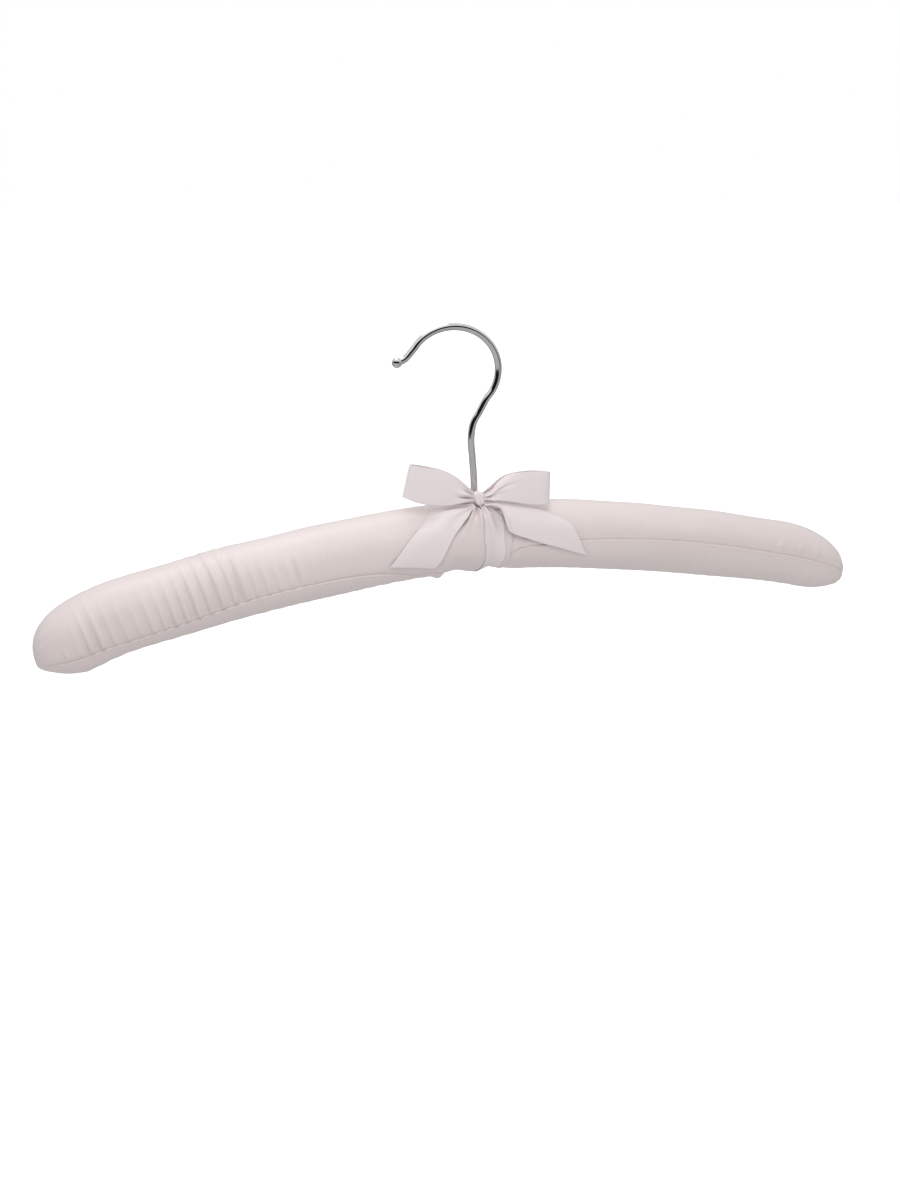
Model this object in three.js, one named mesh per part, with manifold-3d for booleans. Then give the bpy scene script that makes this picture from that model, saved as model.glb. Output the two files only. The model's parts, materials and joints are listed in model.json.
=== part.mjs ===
// A padded satin clothes hanger, in millimetres: +Z up, +X along the arms, the bow on the -Y side.
//
// A shaped wood core carries a wire hook that swivels in it. Each arm has a sleeve of wadding under a
// satin cover sewn from an upper and a lower panel. A gathered wrap hides the join in the middle, and
// a ribbon is tied over it in a bow. Everything is laid out about the hook's joint, on its swivel
// axis. The finished group is then moved so that its origin is the place inside the crown of the
// hook where a rail carries it.
//
// A point of an arm is given by its distance from the middle, its angle round the section (0 at the
// front, 90 at the top, 180 at the back) and its height above the cover's outer surface.

import * as THREE from 'three';
import { mergeVertices } from 'three/addons/utils/BufferGeometryUtils.js';
import Module from 'manifold-3d';

const wasm = await Module();
wasm.setup();

// ---- Driving dimensions ----------------------------------------------------------------------

// Arms
const ARM_MIDDLE_X = -1.5; // where the arms meet, against the hook's joint
const ARM_MIDDLE_Z = -2;
const ARM_LENGTH = 188.3; // from the middle to each end
const ARM_HALF_HEIGHT = 15.3; // at the middle
const ARM_TAPER = 0.6; // lost from the half height by the end
const ARM_DEPTH_RATIO = 0.95; // front to back against height
const DROP_LINEAR = 0.059; // the arms fall away from the middle, faster further out
const DROP_SQUARE = 0.00055; // per millimetre
const WAIST_ROUNDING = 10; // rounds the peak where the two arms meet
const FORWARD_SWEEP = 8.5; // the ends come forward by this much
const TIP_LENGTH = 24; // the rounded end of an arm, seen from above
const TIP_POWER = 2.5; // 2 would be an ellipse
const TIP_TOP_LENGTH = 38; // the top comes down to the closing point over a long way
const TIP_TOP_POWER = 2.5;
const TIP_UNDER_LENGTH = 18; // the underside comes up to it over a shorter one
const TIP_UNDER_POWER = 1.6;
const TIP_CLOSING = 0.5; // the closing point is this far below the middle, against the half height

// Covers
const SATIN = 0.6; // satin with its seam allowance
const GAP = 0.3; // between pieces that touch
const COVER_START = 3; // from the middle to the open end of a cover
const COVER_END = 187.7; // the last gather, round a small eye
const SEAM_ANGLE = { left: -28, right: -3 }; // where the front and back seams run
const WADDING_START = 4;
const WADDING_END = 185;

// Wood core
const CORE_HALF_HEIGHT = 10;
const CORE_HALF_DEPTH = 6;
const CORE_SQUARENESS = 4; // exponent of the rounded rectangle
const CORE_END = 170;
const CORE_END_ROUNDING = 8;
const CAVITY_CLEARANCE = 0.4; // between the core and its wadding

// Hook
const WIRE_RADIUS = 1.5;
const CROWN_X = -10; // centre of the crown's ellipse
const CROWN_Z = 70;
const CROWN_HALF_WIDTH = 20.7;
const CROWN_HALF_HEIGHT = 18.5;
const CROWN_FROM = -42; // degrees round the ellipse, from +X towards +Z
const CROWN_TO = 150;
const BALL_RADIUS = 2.2;
const BALL_X = -34.7;
const BALL_Z = 74.5;
const HOLE_RADIUS = 1.6; // running clearance round the wire
const COUNTERBORE_RADIUS = 5;
const COUNTERBORE_TOP = -2;
const WASHER_RADIUS = 4.5;
const WASHER_THICKNESS = 1;
const FOOT_RADIUS = 2.8; // the peened foot that holds the hook in
const FOOT_HEIGHT = 1.2;

// Centre wrap and ribbon
const WRAP_LEFT = 17; // from the middle to each edge
const WRAP_RIGHT = 13;
const WRAP_HOLE_RADIUS = 2.4;
const RIBBON = 0.4;
const RIBBON_WIDTH = 15;
const BAND_FROM = 2.6; // the gathered band round the waist, just right of the hook
const BAND_TO = 11;
const TAIL_HEIGHT = 2; // the tails lie over the wrap and the band
const KNOT = { x: -1.3, y: -8.6, z: 16.6, width: 5.8, depth: 5, height: 5.8 };

// ---- Materials -------------------------------------------------------------------------------

function material(colour, roughness, metalness = 0) {
  return new THREE.MeshStandardMaterial({ color: colour, roughness, metalness });
}

const satin = () => material(0xe6dad8, 0.38);
const ribbonSatin = () => material(0xeae0df, 0.32);
const wadding = () => material(0xf4f2ee, 0.95);
const wood = () => material(0xc9a877, 0.7);
const chrome = () => material(0xc8c8ca, 0.08, 1);
const steel = () => material(0x9a9b9d, 0.35, 1);

// ---- Shapes ----------------------------------------------------------------------------------

const radians = THREE.MathUtils.degToRad;

function armDrop(x) {
  const along = Math.hypot(x, WAIST_ROUNDING) - WAIST_ROUNDING;
  return DROP_LINEAR * along + DROP_SQUARE * along * along;
}

// 1 along an arm, closing to 0 at its end over the last length millimetres.
function closing(x, length, power) {
  const share = Math.min(1, Math.max(0, (x - (ARM_LENGTH - length)) / length));
  return (1 - share ** power) ** (1 / power);
}

// The section of a cover: how far its middle is above the middle of the arm, and its half sizes.
function armSection(x) {
  const full = ARM_HALF_HEIGHT - (ARM_TAPER * x) / ARM_LENGTH;
  const end = -TIP_CLOSING * full;
  const top = end + (full - end) * closing(x, TIP_TOP_LENGTH, TIP_TOP_POWER);
  const under = end - (full + end) * closing(x, TIP_UNDER_LENGTH, TIP_UNDER_POWER);
  const halfDepth = full * ARM_DEPTH_RATIO * closing(x, TIP_LENGTH, TIP_POWER);
  return { middle: (top + under) / 2, halfHeight: (top - under) / 2, halfDepth };
}

// How far a place lies from where the arms meet.
function outward(x) {
  return Math.abs(x - ARM_MIDDLE_X);
}

// The middle of the arm at a place along the hanger, and the direction across the arm in its own
// plane.
function armCentre(x) {
  const out = outward(x);
  const forward = FORWARD_SWEEP * (out / ARM_LENGTH) ** 2;
  return new THREE.Vector3(x, -forward, ARM_MIDDLE_Z - armDrop(out));
}

function armUp(x) {
  const out = outward(x);
  const slope = Math.sign(x - ARM_MIDDLE_X) * (armDrop(out + 0.5) - armDrop(Math.max(0, out - 0.5)));
  return new THREE.Vector3(slope, 0, 1).normalize();
}

function sectionPoint(x, towardsFront, upwards) {
  const point = armCentre(x);
  point.addScaledVector(armUp(x), upwards);
  point.y -= towardsFront;
  return point;
}

function armPoint(x, degrees, above) {
  const { middle, halfHeight, halfDepth } = armSection(outward(x));
  const angle = radians(degrees);
  const upwards = middle + (halfHeight + above) * Math.sin(angle);
  return sectionPoint(x, (halfDepth + above) * Math.cos(angle), upwards);
}

function range(from, to, steps) {
  return Array.from({ length: steps + 1 }, (_, i) => from + ((to - from) * i) / steps);
}

// Places along an arm, crowded towards the rounded end.
function armStations(from, to, straightSteps, tipSteps) {
  const tipFrom = ARM_LENGTH - TIP_LENGTH;
  const straight = range(from, tipFrom, straightSteps);
  const tip = range(1, tipSteps, tipSteps - 1).map(
    (i) => tipFrom + (to - tipFrom) * Math.sin((Math.PI / 2) * (i / tipSteps)),
  );
  return [...straight, ...tip];
}

function bodyFrom(points, triangles) {
  const geometry = new THREE.BufferGeometry();
  const flat = points.flatMap((p) => [p.x, p.y, p.z]);
  geometry.setAttribute('position', new THREE.Float32BufferAttribute(flat, 3));
  geometry.setIndex(triangles);
  return facingOut(geometry);
}

// Turns a closed body's triangles over if they face in.
function facingOut(geometry) {
  const position = geometry.attributes.position;
  const index = geometry.index.array;
  const corner = (i) => new THREE.Vector3().fromBufferAttribute(position, index[i]);
  let volume = 0;
  for (let i = 0; i < index.length; i += 3) {
    volume += corner(i).dot(corner(i + 1).cross(corner(i + 2)));
  }
  if (volume < 0) {
    for (let i = 0; i < index.length; i += 3) {
      [index[i], index[i + 1]] = [index[i + 1], index[i]];
    }
  }
  return geometry;
}

// A solid through a row of closed rings, with a fan over each end ring.
function loft(rings) {
  const size = rings[0].length;
  const points = rings.flat();
  const triangles = [];
  for (let r = 0; r + 1 < rings.length; r++) {
    for (let i = 0; i < size; i++) {
      const a = r * size + i;
      const b = r * size + ((i + 1) % size);
      triangles.push(a, b, b + size, a, b + size, a + size);
    }
  }
  for (const [start, flip] of [[0, true], [(rings.length - 1) * size, false]]) {
    const centre = new THREE.Vector3();
    for (let i = 0; i < size; i++) centre.addScaledVector(points[start + i], 1 / size);
    points.push(centre);
    for (let i = 0; i < size; i++) {
      const a = start + i;
      const b = start + ((i + 1) % size);
      triangles.push(...(flip ? [b, a] : [a, b]), points.length - 1);
    }
  }
  return bodyFrom(points, triangles);
}

// A layer of cloth: two matching grids of points, joined round their edges. A wrapped layer
// closes on itself along its rows, as a tube does.
function layer(outer, inner, wrapped = false) {
  const rows = outer.length;
  const columns = outer[0].length;
  const points = [...outer.flat(), ...inner.flat()];
  const back = rows * columns;
  const triangles = [];
  const quad = (a, b, c, d) => triangles.push(a, b, c, a, c, d);
  const last = wrapped ? columns : columns - 1;
  for (let r = 0; r + 1 < rows; r++) {
    for (let i = 0; i < last; i++) {
      const a = r * columns + i;
      const b = r * columns + ((i + 1) % columns);
      quad(a, b, b + columns, a + columns);
      quad(b + back, a + back, a + columns + back, b + columns + back);
    }
  }
  for (let i = 0; i < last; i++) {
    const next = (i + 1) % columns;
    const end = (rows - 1) * columns;
    quad(next, i, i + back, next + back);
    quad(end + i, end + next, end + next + back, end + i + back);
  }
  if (!wrapped) {
    for (let r = 0; r + 1 < rows; r++) {
      const a = r * columns;
      const b = a + columns - 1;
      quad(a, a + columns, a + columns + back, a + back);
      quad(b + columns, b, b + back, b + columns + back);
    }
  }
  return bodyFrom(points, triangles);
}

function solidOf(geometry) {
  const bare = geometry.clone();
  bare.deleteAttribute('normal');
  bare.deleteAttribute('uv');
  const merged = mergeVertices(bare, 1e-4);
  return new wasm.Manifold(
    new wasm.Mesh({
      numProp: 3,
      vertProperties: new Float32Array(merged.attributes.position.array),
      triVerts: new Uint32Array(merged.index.array),
    }),
  );
}

function geometryOf(solid) {
  const mesh = solid.getMesh();
  const geometry = new THREE.BufferGeometry();
  geometry.setAttribute('position', new THREE.BufferAttribute(mesh.vertProperties, 3));
  geometry.setIndex(new THREE.BufferAttribute(mesh.triVerts, 1));
  return geometry;
}

// A closed upright cylinder from one height to another, on the swivel axis.
function post(radius, low, high, sides = 24) {
  const geometry = new THREE.CylinderGeometry(radius, radius, high - low, sides);
  geometry.rotateX(Math.PI / 2);
  geometry.translate(0, 0, (low + high) / 2);
  return geometry;
}

function piece(name, geometry, look) {
  const mesh = new THREE.Mesh(geometry, look);
  mesh.name = name;
  return mesh;
}

// ---- Hook ------------------------------------------------------------------------------------

const WASHER_TOP = COUNTERBORE_TOP - GAP;
const FOOT_TOP = WASHER_TOP - WASHER_THICKNESS - GAP;

// The wire's middle line: up the shank, a slight bend at the neck, round the crown, and a short
// outward turn that ends in the ball.
function wirePath() {
  const at = (x, z) => new THREE.Vector3(x, 0, z);
  const shank = [at(0, FOOT_TOP - FOOT_HEIGHT / 2), at(0, 8), at(0, 22)];
  const neck = [at(-0.9, 33), at(-1.5, 41), at(-0.3, 48), at(2.1, 52)];
  const crown = range(CROWN_FROM, CROWN_TO, 12).map((degrees) => {
    const angle = radians(degrees);
    return at(
      CROWN_X + CROWN_HALF_WIDTH * Math.cos(angle),
      CROWN_Z + CROWN_HALF_HEIGHT * Math.sin(angle),
    );
  });
  const turnOut = [at(-31.9, 75.5), at(BALL_X, BALL_Z)];
  return new THREE.CatmullRomCurve3([...shank, ...neck, ...crown, ...turnOut]);
}

function hook() {
  const section = new THREE.Shape().absarc(0, 0, WIRE_RADIUS, 0, 2 * Math.PI);
  const wire = new THREE.ExtrudeGeometry(section, {
    steps: 56,
    curveSegments: 7,
    extrudePath: wirePath(),
  });
  const ball = new THREE.SphereGeometry(BALL_RADIUS, 14, 10);
  ball.translate(BALL_X, 0, BALL_Z);
  const foot = post(FOOT_RADIUS, FOOT_TOP - FOOT_HEIGHT, FOOT_TOP);
  const whole = solidOf(wire).add(solidOf(ball)).add(solidOf(foot));
  return piece('hook', geometryOf(whole), chrome());
}

function hookWasher() {
  const bottom = WASHER_TOP - WASHER_THICKNESS;
  const disc = solidOf(post(WASHER_RADIUS, bottom, WASHER_TOP));
  const hole = solidOf(post(HOLE_RADIUS, bottom - 1, WASHER_TOP + 1));
  return piece('hook_washer', geometryOf(disc.subtract(hole)), steel());
}

// ---- Wood core -------------------------------------------------------------------------------

// A bar with a rounded rectangular section that follows the arms. Growing it by a clearance gives
// the cavity that it leaves in the wadding.
function coreRing(x, scale, grow) {
  const power = 2 / CORE_SQUARENESS;
  const bend = (v) => Math.sign(v) * Math.abs(v) ** power;
  return range(0, 360, 20)
    .slice(0, -1)
    .map((degrees) => {
      const angle = radians(degrees);
      const front = (CORE_HALF_DEPTH * scale + grow) * bend(Math.cos(angle));
      const up = (CORE_HALF_HEIGHT * scale + grow) * bend(Math.sin(angle));
      return sectionPoint(x, front, up);
    });
}

function coreEnd(share) {
  const x = CORE_END - CORE_END_ROUNDING * (1 - share);
  return { x, scale: Math.sqrt(1 - 0.75 * share * share) };
}

function woodCore() {
  const ends = [0.5, 0.8, 1].map(coreEnd);
  const straight = range(0, CORE_END - CORE_END_ROUNDING, 12).map((x) => ({ x, scale: 1 }));
  const right = [...straight, ...ends];
  const left = right.slice(1).map(({ x, scale }) => ({ x: -x, scale })).reverse();
  const rings = [...left, ...right].map(({ x, scale }) => coreRing(ARM_MIDDLE_X + x, scale, 0));
  const hole = solidOf(post(HOLE_RADIUS, -30, 30));
  const counterbore = solidOf(post(COUNTERBORE_RADIUS, -30, COUNTERBORE_TOP));
  const drilled = solidOf(loft(rings)).subtract(hole).subtract(counterbore);
  return piece('wood_core', geometryOf(drilled), wood());
}

// ---- Wadding and satin covers ----------------------------------------------------------------

// The place along the hanger that lies out millimetres from the middle of the arms.
function onArm(side, out) {
  return ARM_MIDDLE_X + (side === 'left' ? -out : out);
}

function armRing(x, above, sides) {
  return range(0, 360, sides)
    .slice(0, -1)
    .map((degrees) => armPoint(x, degrees, above));
}

function waddingSleeve(side) {
  const under = -(SATIN + GAP);
  const stations = armStations(WADDING_START, WADDING_END, 12, 9);
  const outside = loft(stations.map((out) => armRing(onArm(side, out), under, 22)));
  const straight = range(WADDING_START - 2, CORE_END - CORE_END_ROUNDING, 9);
  const places = straight.map((out) => ({ out, scale: 1 }));
  places.push({ out: CORE_END, scale: 1 }, { out: CORE_END + 2, scale: 0.7 });
  const cavity = loft(
    places.map(({ out, scale }) => coreRing(onArm(side, out), scale, CAVITY_CLEARANCE)),
  );
  const sleeve = solidOf(outside).subtract(solidOf(cavity));
  return piece(`${side}_wadding`, geometryOf(sleeve), wadding());
}

// One of the two satin panels of an arm's cover, from the front seam to the back seam.
function coverPanel(side, half) {
  const seam = SEAM_ANGLE[side];
  const stations = armStations(COVER_START, COVER_END, 12, 9);
  const grid = (above) =>
    stations.map((out) => {
      const radius = armSection(out).halfHeight;
      const clear = THREE.MathUtils.radToDeg(GAP / 2 / Math.max(radius - SATIN, 1));
      const upper = half === 'upper';
      const from = upper ? seam + clear : seam - clear;
      const to = upper ? 180 - seam - clear : -180 - seam + clear;
      return range(from, to, 14).map((degrees) => armPoint(onArm(side, out), degrees, above));
    });
  return piece(`${side}_${half}_panel`, layer(grid(0), grid(-SATIN)), satin());
}

// ---- Centre wrap and ribbon ------------------------------------------------------------------

function waistTube(from, to, inner, thickness, sides) {
  const stations = range(from, to, 5);
  const grid = (above) => stations.map((x) => armRing(x, above, sides));
  return layer(grid(inner + thickness), grid(inner), true);
}

function centreWrap() {
  const tube = solidOf(waistTube(-WRAP_LEFT, WRAP_RIGHT, GAP, SATIN, 30));
  const hole = solidOf(post(WRAP_HOLE_RADIUS, 5, 25));
  return piece('centre_wrap', geometryOf(tube.subtract(hole)), satin());
}

function ribbonBand() {
  const inner = 2 * GAP + SATIN;
  return piece('ribbon_band', waistTube(BAND_FROM, BAND_TO, inner, RIBBON, 30), ribbonSatin());
}

function bowKnot() {
  const knot = new THREE.SphereGeometry(0.5, 14, 10);
  knot.scale(KNOT.width, KNOT.depth, KNOT.height);
  knot.translate(KNOT.x, KNOT.y, KNOT.z);
  return piece('bow_knot', knot, ribbonSatin());
}

// A loop of the bow as one flattened body that widens from the knot to a full-width fold, along a
// bending middle line. Each place along it gives the loop's height against the ribbon's width, and
// its thickness. The far end leans out by some degrees.
function bowLoop(name, middleLine, lean) {
  const path = new THREE.QuadraticBezierCurve3(...middleLine);
  const places = [
    { share: 0, height: 0.33, thickness: 2.4 },
    { share: 0.3, height: 0.66, thickness: 4 },
    { share: 0.65, height: 0.9, thickness: 4.4 },
    { share: 0.9, height: 0.96, thickness: 3.4 },
    { share: 1, height: 0.96, thickness: 1.2 },
  ];
  const rings = places.map(({ share, height, thickness }) => {
    const middle = path.getPoint(share);
    return range(0, 360, 14)
      .slice(0, -1)
      .map((degrees) => {
        const angle = radians(degrees);
        const up = (Math.sin(angle) * height * RIBBON_WIDTH) / 2;
        const x = middle.x + up * Math.tan(radians(lean)) * share;
        return new THREE.Vector3(x, middle.y + (Math.cos(angle) * thickness) / 2, middle.z + up);
      });
  });
  return piece(name, loft(rings), ribbonSatin());
}

// A tail of the bow, laid on the front of an arm between two edges. An edge is a row of places
// along the arm, each with its angle round the section.
function bowTail(name, upperEdge, lowerEdge) {
  const rows = 7;
  const columns = 5;
  const along = (edge) => new THREE.CatmullRomCurve3(edge.map(([x, a]) => new THREE.Vector3(x, a, 0)));
  const upper = along(upperEdge);
  const lower = along(lowerEdge);
  const grid = (above) =>
    range(0, 1, rows).map((share) =>
      range(0, 1, columns).map((across) => {
        const place = upper.getPoint(share).lerp(lower.getPoint(share), across);
        return armPoint(place.x, place.y, above);
      }),
    );
  return piece(name, layer(grid(TAIL_HEIGHT + RIBBON), grid(TAIL_HEIGHT)), ribbonSatin());
}

function bow() {
  const at = (x, y, z) => new THREE.Vector3(x, y, z);
  return [
    bowKnot(),
    bowLoop('bow_left_loop', [at(-4.8, -8.6, 17.2), at(-18, -8.6, 22), at(-33.6, -8.6, 26.2)], 12),
    bowLoop('bow_right_loop', [at(2.2, -9.6, 17.6), at(11, -10.4, 21.5), at(32, -10.8, 18.9)], 3),
    bowTail('bow_left_tail', [[-9, 66], [-22, 53], [-43, -13]], [[-5, 50], [-6, 42], [-24, -36]]),
    bowTail('bow_right_tail', [[7, 50], [25, 45], [39, 29]], [[7, 23], [19, 5], [49, -19]]),
  ];
}

// ---- The whole hanger ------------------------------------------------------------------------

const hanger = new THREE.Group();
hanger.add(hook(), hookWasher(), woodCore());
for (const side of ['left', 'right']) {
  hanger.add(waddingSleeve(side), coverPanel(side, 'upper'), coverPanel(side, 'lower'));
}
hanger.add(centreWrap(), ribbonBand(), ...bow());
hanger.position.set(-CROWN_X, 0, -(CROWN_Z + CROWN_HALF_HEIGHT - WIRE_RADIUS));

export default hanger;
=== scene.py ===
"""A padded satin clothes hanger, for Blender 4.5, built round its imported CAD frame.

The shapes are worked out in millimetres about the hook's joint, on its swivel axis: +Z up, +X along
the arms, the bow on the -Y side. WAIST is that place in the frame, in metres. A place on an arm is
(distance along x, angle round the section, height above the cover), with the angle 0 at the front,
90 at the top and 180 at the back. out is the distance from the middle of the arms.
"""

import json
import math

import bpy
import numpy as np
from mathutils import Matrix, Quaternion, Vector

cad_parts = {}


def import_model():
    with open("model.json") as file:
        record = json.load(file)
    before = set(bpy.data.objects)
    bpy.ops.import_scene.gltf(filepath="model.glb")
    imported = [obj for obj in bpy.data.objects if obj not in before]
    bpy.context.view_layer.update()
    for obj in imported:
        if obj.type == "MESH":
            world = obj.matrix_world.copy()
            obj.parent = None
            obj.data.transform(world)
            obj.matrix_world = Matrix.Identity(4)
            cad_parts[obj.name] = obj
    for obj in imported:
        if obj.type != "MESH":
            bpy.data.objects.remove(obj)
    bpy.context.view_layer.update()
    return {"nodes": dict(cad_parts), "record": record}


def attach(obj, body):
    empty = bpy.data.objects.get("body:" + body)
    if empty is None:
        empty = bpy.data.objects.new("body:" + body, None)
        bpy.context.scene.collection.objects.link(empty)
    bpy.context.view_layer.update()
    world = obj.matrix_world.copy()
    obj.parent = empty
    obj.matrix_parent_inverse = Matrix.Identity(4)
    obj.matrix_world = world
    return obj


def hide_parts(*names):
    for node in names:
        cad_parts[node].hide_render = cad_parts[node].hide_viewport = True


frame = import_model()
WAIST = np.array(frame["record"]["behaviour"]["joints"][0]["pos_m"])
MM = 0.001

# ---- Driving dimensions, in millimetres and degrees, as in the CAD model ------------------------

ARM_MIDDLE_X = -1.5
ARM_MIDDLE_Z = -2
ARM_LENGTH = 188.3
ARM_HALF_HEIGHT = 15.3
ARM_TAPER = 0.6
ARM_DEPTH_RATIO = 0.95
DROP_LINEAR = 0.059
DROP_SQUARE = 0.00055
WAIST_ROUNDING = 10
FORWARD_SWEEP = 8.5
TIP_LENGTH = 24
TIP_POWER = 2.5
TIP_TOP_LENGTH = 38
TIP_TOP_POWER = 2.5
TIP_UNDER_LENGTH = 18
TIP_UNDER_POWER = 1.6
TIP_CLOSING = 0.5

COVER_START = 3
WADDING_START = 4
WADDING_END = 185
CORE_HALF_HEIGHT = 10
CORE_HALF_DEPTH = 6
CORE_END = 170

WIRE_RADIUS = 1.5
CROWN_X = -10
CROWN_Z = 70
CROWN_HALF_WIDTH = 20.7
CROWN_HALF_HEIGHT = 18.5
BALL_RADIUS = 2.2
BALL = (-34.7, 74.5)
FOOT_BOTTOM = -4.8
FOOT_HEIGHT = 1.2
FOOT_RADIUS = 2.8

WRAP_LEFT = 17
WRAP_RIGHT = 13
KNOT = (-1.3, -9.4, 16.7)
KNOT_HALF_WIDTH = 2.5
KNOT_HALF_DEPTH = 2.3
KNOT_HALF_HEIGHT = 2.95

SATIN_THICKNESS = 0.35
RIBBON_THICKNESS = 0.22


# ---- Numbers --------------------------------------------------------------------------------------

RIPPLE_WAVES = 7
BILLOW_WAVES = 9
ANY_PHASE = 6.3  # radians, a full turn


def smooth(low, high, value):
    """0 at low and beyond, 1 at high and beyond, and a smooth step between. low may be the larger."""
    share = np.clip((value - low) / (high - low), 0, 1)
    return share * share * (3 - 2 * share)


def bell(value, middle, width):
    """1 at the middle, falling to 0.37 a width to either side and soon to 0."""
    return np.exp(-(((value - middle) / width) ** 2))


def full_turn(count):
    """count angles evenly spaced round a full turn, in degrees."""
    return np.linspace(0, 360, count, endpoint=False)


def ripples(along, across, wavelength, slant, seed):
    """Folds that run across, with their crests slant millimetres further along for each millimetre
    across. Several wavelengths are mixed, so that no two folds are alike."""
    rng = np.random.RandomState(seed)
    total = 0
    for _ in range(RIPPLE_WAVES):
        length = wavelength * rng.uniform(0.72, 1.5)
        lean = slant + rng.normal(0, 0.13)
        phase = rng.uniform(0, ANY_PHASE)
        total = total + np.cos(2 * math.pi * (along - lean * across) / length + phase)
    return total / math.sqrt(RIPPLE_WAVES)


def billows(along, across, size, seed):
    """A slow, soft unevenness with no direction of its own."""
    rng = np.random.RandomState(seed)
    total = 0
    for _ in range(BILLOW_WAVES):
        angle = rng.uniform(0, math.pi)
        length = size * rng.uniform(0.7, 1.6)
        phase = rng.uniform(0, ANY_PHASE)
        place = along * math.cos(angle) + across * math.sin(angle)
        total = total + np.cos(2 * math.pi * place / length + phase)
    return total / math.sqrt(BILLOW_WAVES)


def spline(points, count):
    """count rows along a smooth curve through rows of points, evenly spaced by length."""
    points = np.asarray(points, float)
    flat = points.reshape(len(points), -1)
    steps = np.sqrt((np.diff(flat, axis=0) ** 2).sum(1))
    at = np.concatenate([[0], np.cumsum(steps)])
    slopes = np.gradient(flat, at, axis=0)
    where = np.linspace(0, at[-1], count)
    i = np.clip(np.searchsorted(at, where, side="right") - 1, 0, len(at) - 2)
    span = (at[i + 1] - at[i])[:, None]
    t = (where - at[i])[:, None] / span
    value = (
        (2 * t**3 - 3 * t**2 + 1) * flat[i]
        + (t**3 - 2 * t**2 + t) * span * slopes[i]
        + (-2 * t**3 + 3 * t**2) * flat[i + 1]
        + (t**3 - t**2) * span * slopes[i + 1]
    )
    return value.reshape((count,) + points.shape[1:])


# ---- The shape of the arms ------------------------------------------------------------------------

ARMS = {"left": -1, "right": 1}
STRAIGHT_SHARE = 0.78  # of the stations, the share before the rounded end


def arm_drop(out):
    """How far the middle of an arm lies below the middle of the arms."""
    along = np.hypot(out, WAIST_ROUNDING) - WAIST_ROUNDING
    return DROP_LINEAR * along + DROP_SQUARE * along**2


def outward(x):
    """The distance of a place along x from the middle of the arms."""
    return np.abs(x - ARM_MIDDLE_X)


def along_arm(side, out):
    """The place along x that lies out millimetres from the middle of the arms."""
    return ARM_MIDDLE_X + ARMS[side] * out


def closing(out, length, power):
    """1 along an arm, closing to 0 at its end over the last length millimetres."""
    share = np.clip((out - (ARM_LENGTH - length)) / length, 0, 1)
    return (1 - share**power) ** (1 / power)


def section(out):
    """How far the middle of a section is above the middle of the arm, and its half sizes."""
    full = ARM_HALF_HEIGHT - ARM_TAPER * out / ARM_LENGTH
    end = -TIP_CLOSING * full
    top = end + (full - end) * closing(out, TIP_TOP_LENGTH, TIP_TOP_POWER)
    under = end - (full + end) * closing(out, TIP_UNDER_LENGTH, TIP_UNDER_POWER)
    half_depth = full * ARM_DEPTH_RATIO * closing(out, TIP_LENGTH, TIP_POWER)
    return (top + under) / 2, (top - under) / 2, half_depth


def half_height(out):
    """Half the height of a section."""
    return section(out)[1]


def section_place(x, front, up):
    """The place front millimetres towards the bow side and up millimetres above the middle of the
    arm at x."""
    out = outward(x)
    slope = np.sign(x - ARM_MIDDLE_X) * (arm_drop(out + 0.5) - arm_drop(np.maximum(0, out - 0.5)))
    length = np.sqrt(1 + slope**2)
    forward = FORWARD_SWEEP * (out / ARM_LENGTH) ** 2
    height = ARM_MIDDLE_Z - arm_drop(out) + up / length
    place = (x + up * slope / length, -forward - front, height)
    return np.stack(np.broadcast_arrays(*place), -1)


def arm_place(x, degrees, above):
    """The place on an arm at x, degrees round its section and above its smooth cover."""
    middle, half, half_depth = section(outward(x))
    angle = np.radians(degrees)
    up = middle + (half + above) * np.sin(angle)
    return section_place(x, (half_depth + above) * np.cos(angle), up)


def stations(start, end, count):
    """Places along an arm, closer together towards the rounded end."""
    tip_from = ARM_LENGTH - TIP_LENGTH
    straight = np.linspace(start, tip_from, int(count * STRAIGHT_SHARE))
    quarter = np.linspace(0, math.pi / 2, count - len(straight) + 1)[1:]
    return np.concatenate([straight, tip_from + (end - tip_from) * np.sin(quarter)])


# ---- Meshes ---------------------------------------------------------------------------------------

def new_object(name, places, faces, look, flat_faces=()):
    """A mesh object from places in millimetres about the waist. Only flat_faces are shaded flat."""
    mesh = bpy.data.meshes.new(name)
    vertices = np.asarray(places, float).reshape(-1, 3) * MM + WAIST
    mesh.from_pydata(vertices.tolist(), [], [list(f) for f in faces] + [list(f) for f in flat_faces])
    smooth_flags = [True] * len(faces) + [False] * len(flat_faces)
    mesh.polygons.foreach_set("use_smooth", smooth_flags)
    mesh.update()
    mesh.materials.append(look)
    thing = bpy.data.objects.new(name, mesh)
    bpy.context.scene.collection.objects.link(thing)
    return thing


def grid_normals(grid, wrapped):
    """Unit normals of a grid of places, along (column direction) x (row direction)."""
    by_row = np.gradient(grid, axis=0)
    if wrapped:
        by_column = (np.roll(grid, -1, axis=1) - np.roll(grid, 1, axis=1)) / 2
    else:
        by_column = np.gradient(grid, axis=1)
    normal = np.cross(by_column, by_row)
    length = np.linalg.norm(normal, axis=-1, keepdims=True)
    return normal / np.maximum(length, 1e-9)


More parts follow.
